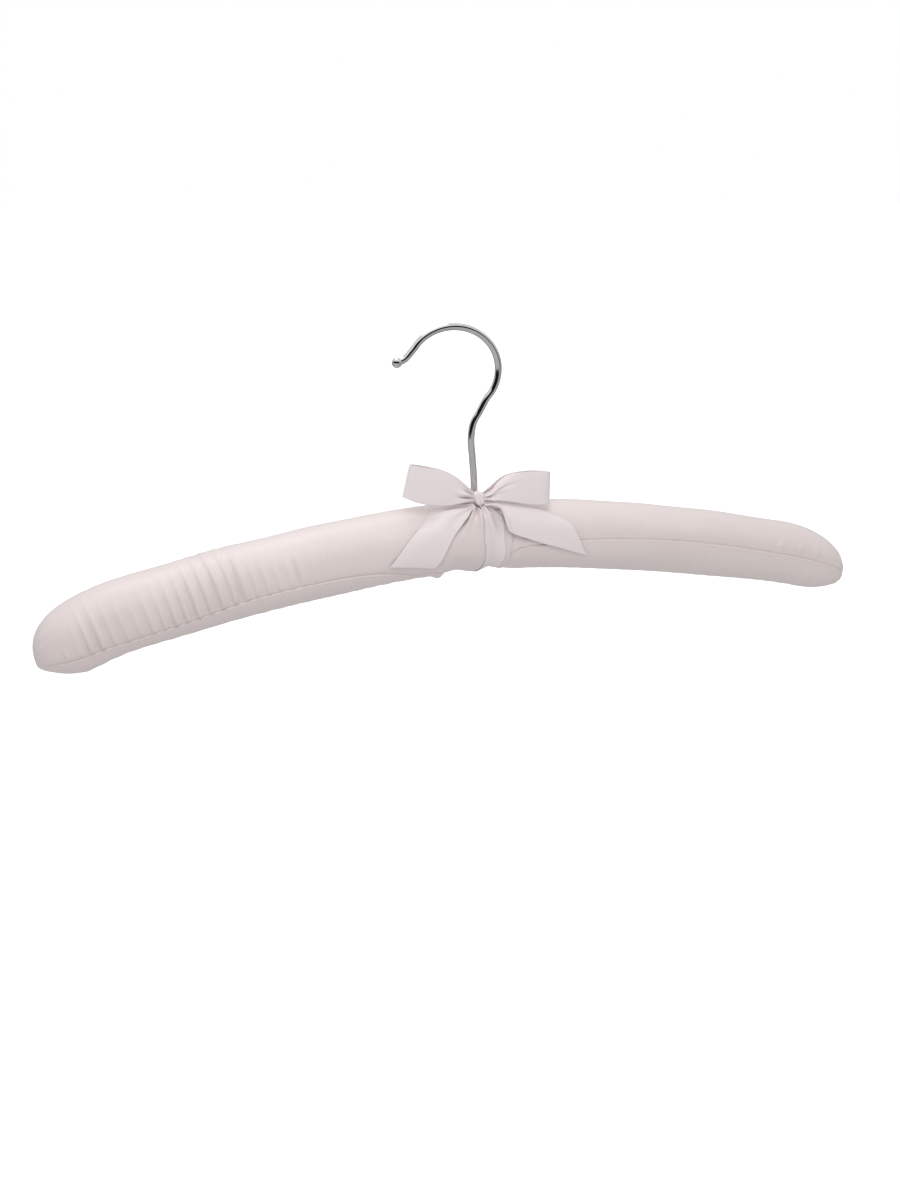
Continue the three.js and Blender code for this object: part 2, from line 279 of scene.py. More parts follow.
def cloth(name, grid, thickness, look, wrapped=False, flip=False, centred=False):
    """A closed sheet of cloth over a grid of places. Its face is the grid, and its back lies
    thickness behind it; a centred sheet has the grid in its middle. A wrapped one closes on itself
    along its rows, as a tube does."""
    normal = grid_normals(grid, wrapped) * (-1 if flip else 1)
    face = grid + normal * (thickness / 2 if centred else 0)
    back = face - normal * thickness
    rows, columns = grid.shape[:2]
    behind = rows * columns  # from a corner in the face to the same one in the back
    last = columns if wrapped else columns - 1
    row, column = np.meshgrid(np.arange(rows - 1), np.arange(last), indexing="ij")
    here = (row * columns + column).ravel()
    beside = (row * columns + (column + 1) % columns).ravel()
    front_faces = np.stack([here, beside, beside + columns, here + columns], -1)
    if flip:
        front_faces = front_faces[:, ::-1]
    back_faces = front_faces[:, ::-1] + behind

    here = np.arange(last)
    beside = (here + 1) % columns
    end = (rows - 1) * columns
    rims = [np.stack([beside, here, here + behind, beside + behind], -1)]
    rims.append(np.stack([end + here, end + beside, end + beside + behind, end + here + behind], -1))
    if not wrapped:
        low = np.arange(rows - 1) * columns
        high = low + columns - 1
        rims.append(np.stack([low, low + columns, low + columns + behind, low + behind], -1))
        rims.append(np.stack([high + columns, high, high + behind, high + columns + behind], -1))
    rims = np.concatenate(rims)
    if flip:
        rims = rims[:, ::-1]
    faces = np.concatenate([front_faces, back_faces])
    both = np.concatenate([face.reshape(-1, 3), back.reshape(-1, 3)])
    return new_object(name, both, faces.tolist(), look, rims.tolist())


def tube(rings):
    """(places, faces) of a solid through closed rings of equal size, with a fan over each end. The
    rings turn anticlockwise seen from the end that they run towards."""
    rings = np.asarray(rings, float)
    rows, columns = rings.shape[:2]
    row, column = np.meshgrid(np.arange(rows - 1), np.arange(columns), indexing="ij")
    here = (row * columns + column).ravel()
    beside = (row * columns + (column + 1) % columns).ravel()
    faces = np.stack([here, beside, beside + columns, here + columns], -1).tolist()
    here = np.arange(columns)
    beside = (here + 1) % columns
    end = (rows - 1) * columns
    first_middle = np.full(columns, rows * columns)
    faces += np.stack([beside, here, first_middle], -1).tolist()
    faces += np.stack([end + here, end + beside, first_middle + 1], -1).tolist()
    middles = np.array([rings[0].mean(0), rings[-1].mean(0)])
    return np.concatenate([rings.reshape(-1, 3), middles]), faces


def join(*parts):
    """One (places, faces) from several."""
    places = []
    faces = []
    for part_places, part_faces in parts:
        start = sum(len(p) for p in places)
        places.append(part_places)
        faces += [[i + start for i in face] for face in part_faces]
    return np.concatenate(places), faces


# ---- Materials ------------------------------------------------------------------------------------

def node_tree(name):
    """(material, node tree, shader) of a new material."""
    material = bpy.data.materials.new(name)
    material.use_nodes = True
    tree = material.node_tree
    return material, tree, tree.nodes["Principled BSDF"]


def add(tree, kind, settings=None, **inputs):
    """A node with some properties and input values set. An input given a socket is linked to it."""
    node = tree.nodes.new(kind)
    for key, value in (settings or {}).items():
        setattr(node, key, value)
    for key, value in inputs.items():
        socket = node.inputs[key.replace("_", " ")]
        if isinstance(value, bpy.types.NodeSocket):
            tree.links.new(value, socket)
        else:
            socket.default_value = value
    return node


def ramp(tree, factor, *stops):
    """A colour ramp through (place, colour) stops."""
    node = add(tree, "ShaderNodeValToRGB", Fac=factor)
    elements = node.color_ramp.elements
    while len(elements) < len(stops):
        elements.new(0.5)
    for element, (place, colour) in zip(elements, stops):
        element.position = place
        element.color = (*colour, 1)
    return node.outputs["Color"]


def satin(name, colour, shade, roughness, thread_scale):
    """Woven satin: a soft sheen, fine close threads, faint unevenness in colour and in gloss."""
    material, tree, shader = node_tree(name)
    place = add(tree, "ShaderNodeTexCoord").outputs["Object"]
    cloud = add(tree, "ShaderNodeTexNoise", Vector=place, Scale=38.0, Detail=3.0).outputs["Fac"]
    tint = ramp(tree, cloud, (0.3, shade), (0.7, colour))
    tree.links.new(tint, shader.inputs["Base Color"])
    gloss = add(tree, "ShaderNodeMapRange", Value=cloud)
    gloss.inputs["To Min"].default_value = roughness - 0.04
    gloss.inputs["To Max"].default_value = roughness + 0.05
    tree.links.new(gloss.outputs["Result"], shader.inputs["Roughness"])
    threads = add(
        tree, "ShaderNodeTexWave", {"bands_direction": "DIAGONAL"},
        Vector=place, Scale=thread_scale, Distortion=1.5, Detail=2.0,
    ).outputs["Fac"]
    slubs = add(tree, "ShaderNodeTexNoise", Vector=place, Scale=900.0, Detail=2.0).outputs["Fac"]
    weave = add(tree, "ShaderNodeMath", {"operation": "ADD"})
    tree.links.new(threads, weave.inputs[0])
    tree.links.new(slubs, weave.inputs[1])
    bump = add(tree, "ShaderNodeBump", Strength=0.12, Distance=0.0001, Height=weave.outputs["Value"])
    tree.links.new(bump.outputs["Normal"], shader.inputs["Normal"])
    shader.inputs["Sheen Weight"].default_value = 0.25
    shader.inputs["Sheen Roughness"].default_value = 0.35
    shader.inputs["Specular IOR Level"].default_value = 0.55
    return material


def chrome(name):
    """Bright chrome plate with faint polishing marks."""
    material, tree, shader = node_tree(name)
    place = add(tree, "ShaderNodeTexCoord").outputs["Object"]
    marks = add(tree, "ShaderNodeTexNoise", Vector=place, Scale=700.0, Detail=4.0).outputs["Fac"]
    gloss = add(tree, "ShaderNodeMapRange", Value=marks)
    gloss.inputs["To Min"].default_value = 0.02
    gloss.inputs["To Max"].default_value = 0.06
    tree.links.new(gloss.outputs["Result"], shader.inputs["Roughness"])
    tint = ramp(tree, marks, (0.3, (0.66, 0.65, 0.65)), (0.7, (0.74, 0.73, 0.73)))
    tree.links.new(tint, shader.inputs["Base Color"])
    shader.inputs["Metallic"].default_value = 1.0
    return material


def plain_steel(name):
    """Zinc-plated steel, rubbed round and round."""
    material, tree, shader = node_tree(name)
    place = add(tree, "ShaderNodeTexCoord").outputs["Object"]
    rings = add(
        tree, "ShaderNodeTexWave", {"wave_type": "RINGS", "rings_direction": "Z"},
        Vector=place, Scale=900.0, Distortion=3.0, Detail=3.0,
    ).outputs["Fac"]
    tint = ramp(tree, rings, (0.2, (0.42, 0.42, 0.43)), (0.8, (0.55, 0.55, 0.56)))
    tree.links.new(tint, shader.inputs["Base Color"])
    bump = add(tree, "ShaderNodeBump", Strength=0.2, Distance=0.00005, Height=rings)
    tree.links.new(bump.outputs["Normal"], shader.inputs["Normal"])
    shader.inputs["Metallic"].default_value = 1.0
    shader.inputs["Roughness"].default_value = 0.38
    return material


def softwood(name):
    """Sanded softwood with its grain along the arms."""
    material, tree, shader = node_tree(name)
    place = add(tree, "ShaderNodeTexCoord").outputs["Object"]
    turned = add(tree, "ShaderNodeMapping", Vector=place)
    turned.inputs["Scale"].default_value = (6, 120, 120)
    grain = add(
        tree, "ShaderNodeTexNoise", Vector=turned.outputs["Vector"], Scale=2.2, Detail=6.0,
        Distortion=0.6,
    ).outputs["Fac"]
    tint = ramp(
        tree, grain,
        (0.3, (0.42, 0.26, 0.12)), (0.5, (0.62, 0.43, 0.23)), (0.7, (0.72, 0.54, 0.33)),
    )
    tree.links.new(tint, shader.inputs["Base Color"])
    bump = add(tree, "ShaderNodeBump", Strength=0.3, Distance=0.0002, Height=grain)
    tree.links.new(bump.outputs["Normal"], shader.inputs["Normal"])
    shader.inputs["Roughness"].default_value = 0.68
    return material


def fibre(name):
    """Matte white polyester wadding."""
    material, tree, shader = node_tree(name)
    place = add(tree, "ShaderNodeTexCoord").outputs["Object"]
    tufts = add(tree, "ShaderNodeTexNoise", Vector=place, Scale=260.0, Detail=8.0).outputs["Fac"]
    tint = ramp(tree, tufts, (0.3, (0.74, 0.72, 0.68)), (0.65, (0.88, 0.87, 0.84)))
    tree.links.new(tint, shader.inputs["Base Color"])
    bump = add(tree, "ShaderNodeBump", Strength=0.8, Distance=0.0008, Height=tufts)
    tree.links.new(bump.outputs["Normal"], shader.inputs["Normal"])
    shader.inputs["Roughness"].default_value = 0.95
    return material


COVER_SATIN = satin("cover_satin", (0.765, 0.678, 0.666), (0.745, 0.656, 0.646), 0.36, 2600.0)
RIBBON_SATIN = satin("ribbon_satin", (0.828, 0.752, 0.758), (0.816, 0.737, 0.743), 0.3, 3400.0)
CHROME = chrome("hook_chrome")
STEEL = plain_steel("washer_steel")
WOOD = softwood("core_wood")
FIBRE = fibre("wadding_fibre")


# ---- Satin covers ---------------------------------------------------------------------------------

BACK_SEAM = {"left": -28, "right": -3}  # degrees above the back of the section
PANEL_ROWS = 420
PANEL_COLUMNS = 90
PANEL_SEED = {"left": 3, "right": 11}
SEAM_GAP = 0.05  # from the middle of a seam to each panel's edge
TIP_GAP = 0.00001  # what the panels leave open at the very end of an arm
THIN_RADIUS = 1.5  # sections smaller than this have a thinner cloth, so that it doesn't cross itself

GATHER_FROM = 74.9
GATHER_SPACING = 4.87
GATHER_HEIGHT = 2.1

# Each crease in the left arm's upper panel: where it starts along the arm, its width and depth, and
# the middle and spread of its height above the seam
CREASES = [(81.3, 0.8, 0.9, 6, 5), (106, 0.9, 0.7, 8, 10)]
CREASE_LEAN = 0.08

# Each pucker above the right arm's front seam: where it is along the arm, and its width
SEAM_PUCKERS = [(147, 1.3), (157, 1.3), (166, 1.4)]


def seam_angle(side, out):
    """Where the front seam runs round the section: low on the left arm and lower still towards its
    end, near the middle of the right arm, and drawn down next to the waist on both."""
    if side == "left":
        near_waist = 18 * np.exp(-(np.maximum(out, 30) - 38) / 13)
        return -19 - near_waist - 10.5 * smooth(96, 136, out) + 3 * smooth(152, 166, out)
    near_waist = 17 * np.exp(-(np.maximum(out, 14) - 30) / 32) + 22 * bell(out, 10, 5)
    return 11 - near_waist - 4 * smooth(100, 160, out)


def waist_pinch(x, degrees):
    """The height, below 0, that the padding has where the ribbon's band draws it in, and where the
    wrap does so underneath."""
    under = smooth(0.2, 0.9, -np.sin(np.radians(degrees)))
    return -2.5 * bell(x, 6.4, 5.0) - 1.9 * under * bell(x, -11, 6.5)


def gathers(out, up):
    """The even row of gathers on the left arm's upper panel: narrow crests and wider hollows that
    rise from the seam and die out, 1 high at their strongest."""
    at = out - 0.11 * (up - 6) + 0.35 * np.sin(out / 5.3) - GATHER_FROM
    turn = 2 * math.pi * at / GATHER_SPACING
    crest = np.exp(1.8 * (np.cos(turn) - 1)) - 0.35 + 0.09 * np.cos(turn / 2 + 0.7)
    size = 0.35 + 0.65 * bell(out, 122, 20) + 0.65 * bell(out, 165, 5.5)
    size = size * smooth(58, 84, out) * smooth(175, 168, out)
    size = size + 0.45 * bell(out, 176.7, 2.0) * bell(up, 3, 3)
    reach = 12 + 8 * bell(out, 112, 20)
    fall = np.exp(-((np.maximum(up, 0) / reach) ** 2.5))
    return crest * size * (0.94 * fall + 0.06 * np.exp(-up / 30))


def sewn_relief(side, half, out, from_front, near, seed):
    """The seams, each a groove that draws the cloth in beside it, and what rises from them. near is
    the distance from the nearer seam."""
    relief = -0.7 * np.exp(-near / 0.4) - 0.4 * np.exp(-near / 2.5)
    beside = smooth(0.2, 2.0, near)
    if half == "lower":
        edge = 0.35 * bell(near, 0.6, 0.4)
        height = {"left": 0.08, "right": 0.05}[side]
        return relief + edge + height * beside * ripples(out, near, 7.5, 0.2, seed)
    if side == "left":
        relief = relief + GATHER_HEIGHT * beside * gathers(out, near)
        leaning = out - CREASE_LEAN * near
        for start, width, depth, up, spread in CREASES:
            relief = relief - depth * bell(leaning, start, width) * bell(near, up, spread)
        return relief
    puckers = sum(bell(out, place, width) for place, width in SEAM_PUCKERS)
    relief = relief + 0.45 * puckers * bell(from_front, 3.5, 2.0)
    return relief + 0.07 * beside * ripples(out, near, 8, 0.2, seed) * np.exp(-near / 8)


def end_relief(out, degrees, seed):
    """The puckers where an arm's end is closed, and the folds where the cover meets the wrap."""
    turn = np.radians(degrees)
    pucker = sum(np.cos(n * turn + 1.7 * n) for n in (9, 14, 20)) / 3
    closed = 0.45 * pucker * bell(out, ARM_LENGTH, 6) * smooth(0, 4, half_height(out))
    folds = ripples(turn * 14, out, 9, 0.25, seed)
    return closed + 0.35 * folds * np.exp(-(out - 16) / 9) * smooth(12, 26, out)


def padding_relief(side, half, x, degrees):
    """Where the wadding is fuller or thinner than in an even arm: the left arm is full under its end
    and next to the wrap, and the right one is thin under its end."""
    if side == "left":
        under_end = 1.6 * bell(outward(x), 172, 11) * bell(degrees, -80, 45)
        return under_end + 2.1 * bell(x, -18.9, 2.6) * bell(degrees, -65, 26)
    if half == "lower":
        return -1.1 * smooth(105, 160, outward(x)) * bell(degrees, -95, 45)
    return 0


def cover_relief(side, half, x, degrees, from_front, from_back):
    """Height of a cover's surface over the smooth arm. It dies out at the very end of the arm and
    under the wrap."""
    out = outward(x)
    near = np.minimum(from_front, from_back)
    seed = PANEL_SEED[side] + (40 if half == "lower" else 0)
    relief = sewn_relief(side, half, out, from_front, near, seed)
    relief = relief + 0.22 * billows(out, near, 46, seed + 9) * smooth(2, 12, near)
    relief = relief + end_relief(out, degrees, seed + 2) + padding_relief(side, half, x, degrees)
    relief = relief * smooth(0.5, 9, half_height(out)) * smooth(9, 19, out)
    return relief - 0.25 * (1 - smooth(12, 26, out)) + waist_pinch(x, degrees)


def cover_panel(side, half):
    """One satin panel of an arm's cover, from its front seam to its back seam and out to the closed
    end. Its columns are closer together towards both seams."""
    out = stations(COVER_START, ARM_LENGTH - TIP_GAP, PANEL_ROWS)[:, None]
    radius = half_height(out)
    share = np.linspace(0, 1, PANEL_COLUMNS)[None, :]
    share = (share + 0.5 - 0.5 * np.cos(math.pi * share)) / 2
    front = seam_angle(side, out)
    back = 180 - BACK_SEAM[side] - (360 if half == "lower" else 0)
    gap = np.degrees(SEAM_GAP / np.maximum(radius, 0.6)) * np.sign(back - front)
    degrees = front + gap + (back - front - 2 * gap) * share
    from_front = np.abs(degrees - front) * np.radians(1) * radius
    from_back = np.abs(back - degrees) * np.radians(1) * radius
    x = along_arm(side, out)
    grid = arm_place(x, degrees, cover_relief(side, half, x, degrees, from_front, from_back))
    turned = (half == "upper") == (side == "left")
    thickness = SATIN_THICKNESS * np.clip(radius / THIN_RADIUS, 0.1, 1)[..., None]
    return cloth(f"{side}_{half}_satin", grid, thickness, COVER_SATIN, flip=turned)


# ---- Wadding --------------------------------------------------------------------------------------

UNDER_COVER = 1.15  # from the wadding's surface to the cover's
CORE_ROOM = 0.4  # between the core and its cavity
CAVITY_CLOSING = -1.5  # how much smaller than the core the ring past its end is


def squared_off(value):
    """A cosine or sine changed so that the section is between round and square."""
    return np.sign(value) * np.sqrt(np.abs(value))


def wadding_sleeve(side):
    """A sleeve of wadding with the cavity that the core fills, open at the waist."""
    degrees = full_turn(48)[None, :]
    out = stations(WADDING_START, WADDING_END, 90)[:, None]
    x = along_arm(side, out)
    fuzz = 0.22 * billows(out, np.radians(degrees) * 15, 7, 21) * smooth(10, 30, out)
    outer = arm_place(x, degrees, fuzz - UNDER_COVER + waist_pinch(x, degrees))
    deep = np.linspace(WADDING_START, CORE_END + 2, 40)[::-1][:, None]
    room = np.where(deep > CORE_END + 1, CAVITY_CLOSING, CORE_ROOM)
    front = (CORE_HALF_DEPTH + room) * squared_off(np.cos(np.radians(degrees)))
    up = (CORE_HALF_HEIGHT + room) * squared_off(np.sin(np.radians(degrees)))
    cavity = section_place(along_arm(side, deep), front, up)
    rings = np.concatenate([cavity, outer])
    if side == "left":
        rings = rings[:, ::-1]
    places, faces = tube(rings)
    return new_object(f"{side}_wadding_fibre", places, faces, FIBRE)


# ---- Hook -----------------------------------------------------------------------------------------

RING_SIDES = 40

# The peened foot's outline from its bottom up: share of its height, share of its radius
FOOT_PROFILE = [(0.0, 0.3), (0.12, 0.75), (0.35, 0.95), (0.6, 1.0), (0.85, 0.96), (1.0, 0.8)]


def wire_line():
    """Places along the middle of the hook's wire."""
    shank = [(0, FOOT_BOTTOM + FOOT_HEIGHT / 2), (0, 8), (0, 22)]
    neck = [(-0.9, 33), (-1.5, 41), (-0.3, 48), (2.1, 52)]
    crown = [
        (
            CROWN_X + CROWN_HALF_WIDTH * math.cos(math.radians(turn)),
            CROWN_Z + CROWN_HALF_HEIGHT * math.sin(math.radians(turn)),
        )
        for turn in range(-42, 151, 16)
    ]
    turn_out = [(-31.9, 75.5), BALL]
    flat = np.array(shank + neck + crown + turn_out, float)
    return spline(np.stack([flat[:, 0], 0 * flat[:, 0], flat[:, 1]], -1), 260)


def round_rings(middles, directions, radii):
    """Rings of the given radii round a line that stays in the hook's own plane."""
    across = np.stack([-directions[:, 2], 0 * directions[:, 0], directions[:, 0]], -1)
    turn = np.radians(full_turn(RING_SIDES))
    side = np.array([0.0, 1.0, 0.0])
    spokes = np.cos(turn)[None, :, None] * side + np.sin(turn)[None, :, None] * across[:, None, :]
    return middles[:, None, :] + radii[:, None, None] * spokes


def hook():
    """The wire with the ball at its tip and its peened foot."""
    middles = wire_line()
    directions = np.gradient(middles, axis=0)
    directions /= np.linalg.norm(directions, axis=1, keepdims=True)
    wire = tube(round_rings(middles, directions, np.full(len(middles), WIRE_RADIUS)))

    turn = np.linspace(0.02, math.pi - 0.02, 30)
    heading = np.repeat(directions[-1:], len(turn), axis=0)
    ball_middles = middles[-1] - BALL_RADIUS * np.cos(turn)[:, None] * directions[-1]
    ball = tube(round_rings(ball_middles, heading, BALL_RADIUS * np.sin(turn)))

    height, radius = np.array(FOOT_PROFILE).T
    upright = np.repeat([[0.0, 0.0, 1.0]], len(height), axis=0)
    foot_middles = (FOOT_BOTTOM + FOOT_HEIGHT * height)[:, None] * upright
    foot = tube(round_rings(foot_middles, upright, FOOT_RADIUS * radius))
    places, faces = join(wire, ball, foot)
    return new_object("chrome_hook", places, faces, CHROME)


# ---- Centre wrap ----------------------------------------------------------------------------------

KNOT_ANGLE = 66  # round the section, where the knot sits
WAIST_RADIUS = 15.5


def knot_distance(x, degrees):
    """(distance, direction) of places from the knot over the unrolled waist, in millimetres."""
    across = x - KNOT[0]
    around = np.radians(degrees - KNOT_ANGLE) * WAIST_RADIUS
    return np.hypot(across, around), np.arctan2(across, -around)


def round_from_knot(turn):
    """Degrees counted so that they run unbroken over the front, from the knot down and under."""
    return np.where(turn > 180 + KNOT_ANGLE, turn - 360, turn)


def wrap_relief(x, degrees):
    """The pleats that fan out from the knot, the fullness under it, and the turned-in edges."""
    far, direction = knot_distance(x, degrees)
    pleats = np.cos(12 * direction + 0.6) + 0.4 * np.cos(24 * direction + 1.2)
    relief = 1.3 * pleats * np.exp(-((far / 11) ** 2)) * smooth(1.5, 5, far)
    relief = relief + 1.7 * bell(far, 7.5, 4) * bell(direction, 0.1, 0.7)
    relief = relief + 0.4 * np.cos(5 * direction + 1.0) * np.exp(-far / 22)
    edge = np.minimum(x + WRAP_LEFT, WRAP_RIGHT - x)
    relief = relief - 0.35 * np.exp(-np.maximum(edge, 0) / 1.2)
    return relief + 0.3 * billows(x, degrees * 0.27, 14, 77)


def wrap_height(x, degrees):
    """How high the wrap lies over the arms: loose in front and drawn tight underneath."""
    loose = 1 - 0.6 * bell(degrees, -95, 55)
    return 0.45 + (0.55 + wrap_relief(x, degrees)) * loose + waist_pinch(x, degrees)


def centre_wrap():
    """The satin gathered round the waist. Its edges are tucked under."""
    turn = full_turn(240)[None, :]
    share = np.linspace(0, 1, 81)[:, None]
    near_knot = bell(turn, KNOT_ANGLE, 42)
    low = -WRAP_LEFT + 3.5 * near_knot - 4.5 * bell((turn + 180) % 360 - 180, -8, 34)
    high = WRAP_RIGHT - 1.5 * near_knot
    x = low + (high - low) * share
    tuck = 0.8 * (np.exp(-share / 0.03) + np.exp(-(1 - share) / 0.03))
    grid = arm_place(x, turn, wrap_height(x, round_from_knot(turn)) - tuck)
    return cloth("gathered_wrap", grid, SATIN_THICKNESS, COVER_SATIN, wrapped=True)


# ---- Ribbon ---------------------------------------------------------------------------------------

# The two edges of each loop, from the knot out to the fold and back behind, as places about the
# joint. The fold is about halfway along each edge.
LOOP_EDGES = {
    "left": (
        [(-3.0, -9.6, 18.2), (-5.8, -10.6, 21.2), (-10.4, -11.3, 25.2), (-15.2, -11.3, 28.9),
         (-23.8, -10.6, 31.1), (-31.6, -9.6, 32.9), (-32.3, -8.6, 33.1), (-31.6, -7.6, 33.0),
         (-22.5, -6.0, 31.0), (-13.0, -5.6, 27.6), (-6.0, -6.6, 22.0), (-3.2, -7.4, 18.6)],
        [(-3.2, -9.8, 15.4), (-6.0, -11.2, 15.8), (-10.0, -12.0, 15.6), (-15.6, -12.2, 15.1),
         (-24.0, -11.6, 15.6), (-34.0, -9.8, 18.8), (-35.6, -8.7, 19.6), (-34.6, -7.6, 19.8),
         (-24.0, -6.2, 17.0), (-14.0, -6.0, 16.4), (-7.0, -6.8, 16.6), (-3.4, -7.4, 16.0)],
    ),
    "right": (
        [(0.6, -9.8, 18.1), (2.4, -10.6, 18.9), (6.6, -11.4, 23.2), (10.4, -11.7, 25.8),
         (20.4, -11.4, 27.0), (31.0, -10.6, 26.3), (31.8, -9.6, 26.1), (31.0, -8.6, 26.1),
         (20.0, -6.8, 26.6), (10.4, -6.6, 24.8), (4.4, -7.0, 20.6), (0.8, -7.4, 18.4)],
        [(0.8, -10.0, 15.6), (3.2, -11.2, 15.9), (7.4, -12.0, 15.6), (12.0, -12.6, 14.8),
         (22.4, -12.6, 12.6), (30.6, -11.4, 12.1), (31.4, -10.3, 12.2), (30.6, -9.3, 12.6),
         (21.0, -8.2, 13.8), (12.0, -7.6, 15.4), (5.0, -7.2, 16.2), (1.0, -7.4, 16.0)],
    ),
}

# The two edges of each tail, from the knot to its slanted end, as places on the arms
TAIL_EDGES = {
    "left": (
        [(-3.0, 60, 3.6), (-6.1, 58, 4.4), (-11.7, 58, 5.0), (-18.0, 57, 4.8), (-22.6, 55, 3.4),
         (-24.0, 52, 2.6), (-25.2, 48, 2.0), (-30.3, 31, 1.3), (-37.3, 9, 1.1), (-43.9, -15, 1.2)],
        [(-3.0, 53, 3.0), (-4.6, 50, 3.2), (-7.0, 41, 3.2), (-10.2, 31, 2.8), (-14.0, 18, 2.3),
         (-17.8, -1, 1.9), (-20.8, -20, 1.7), (-23.2, -31, 1.7)],
    ),
    "right": (
        [(0.2, 62, 4.0), (2.5, 60, 4.6), (6.4, 60, 4.8), (11.2, 58, 4.6), (19.2, 54, 3.6),
         (29.0, 46, 1.9), (39.4, 29, 1.3)],
        [(0.6, 54, 3.6), (3.4, 51, 4.6), (5.9, 46, 5.0), (7.2, 38, 4.6), (8.3, 26, 3.8),
         (10.6, 15, 2.6), (18.7, 5, 1.9), (27.5, -4, 1.5), (37.3, -12.5, 1.3), (48.7, -23, 1.3)],
    ),
}

# The round fold that each tail starts with: its place and width across the ribbon, and its height
TAIL_ROLL = {"left": (0.13, 0.13, 1.3), "right": (0.9, 0.08, 1.0)}
TAIL_SEED = {"left": 5, "right": 8}
LOOP_SEED = {"left": 21, "right": 26}
LOOP_PHASE = {"left": 0.4, "right": 2.6}
RIBBON_ROWS = 110


def ribbon_band():
    """The ribbon drawn in round the waist, from the knot round and back to it."""
    turn = full_turn(180)[None, :]
    share = np.linspace(0, 1, 33)[:, None]
    middle = 4.2 + 1.2 * bell(turn, 330, 30) - 4.6 * bell(turn, KNOT_ANGLE, 16)
    half = 4.9 - 2.6 * bell(turn, KNOT_ANGLE, 18)
    x = middle + (2 * share - 1) * half
    lift = 0.45 + 0.3 * bell(2 * share - 1, 0, 0.9) + 1.3 * bell(turn, KNOT_ANGLE, 26)
    grid = arm_place(x, turn, wrap_height(x, round_from_knot(turn)) + lift)
    return cloth("ribbon_waist_band", grid, RIBBON_THICKNESS, RIBBON_SATIN, wrapped=True)


def creases(across, along, seed, count):
    """Sharp folds that fan out over a ribbon from where it is pinched. across and along run from 0
    to 1, and the folds die out along it."""
    rng = np.random.RandomState(seed)
    total = 0
    for _ in range(count):
        middle = rng.uniform(0.05, 0.95) + rng.normal(0, 0.5) * along
        width = rng.uniform(0.06, 0.12) * (1 + 3 * along)
        reach = rng.uniform(0.1, 0.28)
        height = rng.uniform(0.5, 1.0) * rng.choice([-1, 1])
        total = total + height * bell(across, middle, width) * np.exp(-along / reach)
    return total


def between(edges, columns):
    """(places, along, across) of a ribbon ruled between two edges. along and across run from 0
    to 1."""
    first, second = (spline(edge, RIBBON_ROWS)[:, None, :] for edge in edges)
    along = np.linspace(0, 1, RIBBON_ROWS)[:, None]
    across = np.linspace(0, 1, columns)[None, :]
    return first + (second - first) * across[..., None], along, across


def pinched(side, across, along):
    """The larger folds in the front of a loop, next to the knot."""
    if side == "left":
        bump = 1.3 * bell(across, 0.5, 0.11) * bell(along, 0.09, 0.04)
        lower = 1.1 * bell(across, 0.7, 0.06) * bell(along, 0.09, 0.05)
        return bump - lower - 0.8 * bell(across, 0.3, 0.06) * bell(along, 0.07, 0.04)
    turned_back = 1.4 * np.exp(-across / 0.16) * bell(along, 0.17, 0.08)
    crease = 1.1 * bell(across, 0.36 + 0.6 * (0.2 - along), 0.06) * bell(along, 0.14, 0.08)
    return -turned_back - crease


def bow_loop(side):
    """A loop of the bow: out from the knot, round a crisp fold, and back behind itself."""
    grid, along, across = between(LOOP_EDGES[side], 31)
    from_knot = np.minimum(along, 1 - along)
    before_fold = smooth(0.5, 0.4, from_knot)
    wave = np.cos(2 * math.pi * 1.5 * across + LOOP_PHASE[side] + 5 * from_knot)
    pleats = 0.7 * wave * np.exp(-from_knot / 0.12)
    pleats = pleats + 1.2 * creases(across, 1.6 * from_knot, LOOP_SEED[side], 8)
    belly = 0.5 * np.sin(math.pi * across) * smooth(0.05, 0.25, from_knot)
    height = (pleats * smooth(0, 0.04, from_knot) + belly) * before_fold
    height = height + pinched(side, across, along)
    grid = grid + ARMS[side] * grid_normals(grid, False) * height[..., None]
    return cloth(f"ribbon_{side}_loop", grid, RIBBON_THICKNESS, RIBBON_SATIN, centred=True)


def bow_tail(side):
    """A tail of the bow, from the knot over the front of an arm to its slanted end. It is creased
    where it leaves the knot and flat further on."""
    grid, along, across = between(TAIL_EDGES[side], 45)
    grid = arm_place(grid[..., 0], grid[..., 1], grid[..., 2])
    height = 0.75 * creases(across, along, TAIL_SEED[side], 7) * smooth(0, 0.05, along)
    place, width, rise = TAIL_ROLL[side]
    rolled = smooth(0, 0.1, along) * smooth(0.5, 0.3, along)
    height = height + rise * bell(across, place, width) * rolled
    height = height + 0.16 * np.cos(2 * math.pi * (0.9 * across + 0.7 * along) + TAIL_SEED[side])
    grid = grid + grid_normals(grid, False) * height[..., None]
    turned = side == "right"
    return cloth(
        f"ribbon_{side}_tail", grid, RIBBON_THICKNESS, RIBBON_SATIN, centred=True, flip=turned
    )


def bow_knot():
    """The knot: the ribbon wrapped once round itself, with creases from top to bottom."""
    turn = np.radians(full_turn(64))[None, :]
    rise = np.linspace(-1, 1, 41)[:, None] * 0.995
    belly = (1 - np.abs(rise) ** 3.2) ** (1 / 2.6)
    folds = 1 + 0.09 * np.cos(5 * turn + 1.3 * rise) + 0.05 * np.cos(11 * turn + 1.0 - rise)
    x = KNOT_HALF_WIDTH * belly * folds * np.cos(turn) - 0.5 * rise
    y = KNOT_HALF_DEPTH * belly * folds * np.sin(turn)
    z = KNOT_HALF_HEIGHT * rise * (1 - 0.08 * np.cos(2 * turn))
    rings = np.stack(np.broadcast_arrays(x, y, z), -1) + np.array(KNOT)
    places, faces = tube(rings)
    return new_object("ribbon_knot", places, faces, RIBBON_SATIN)


# ---- Building it ----------------------------------------------------------------------------------

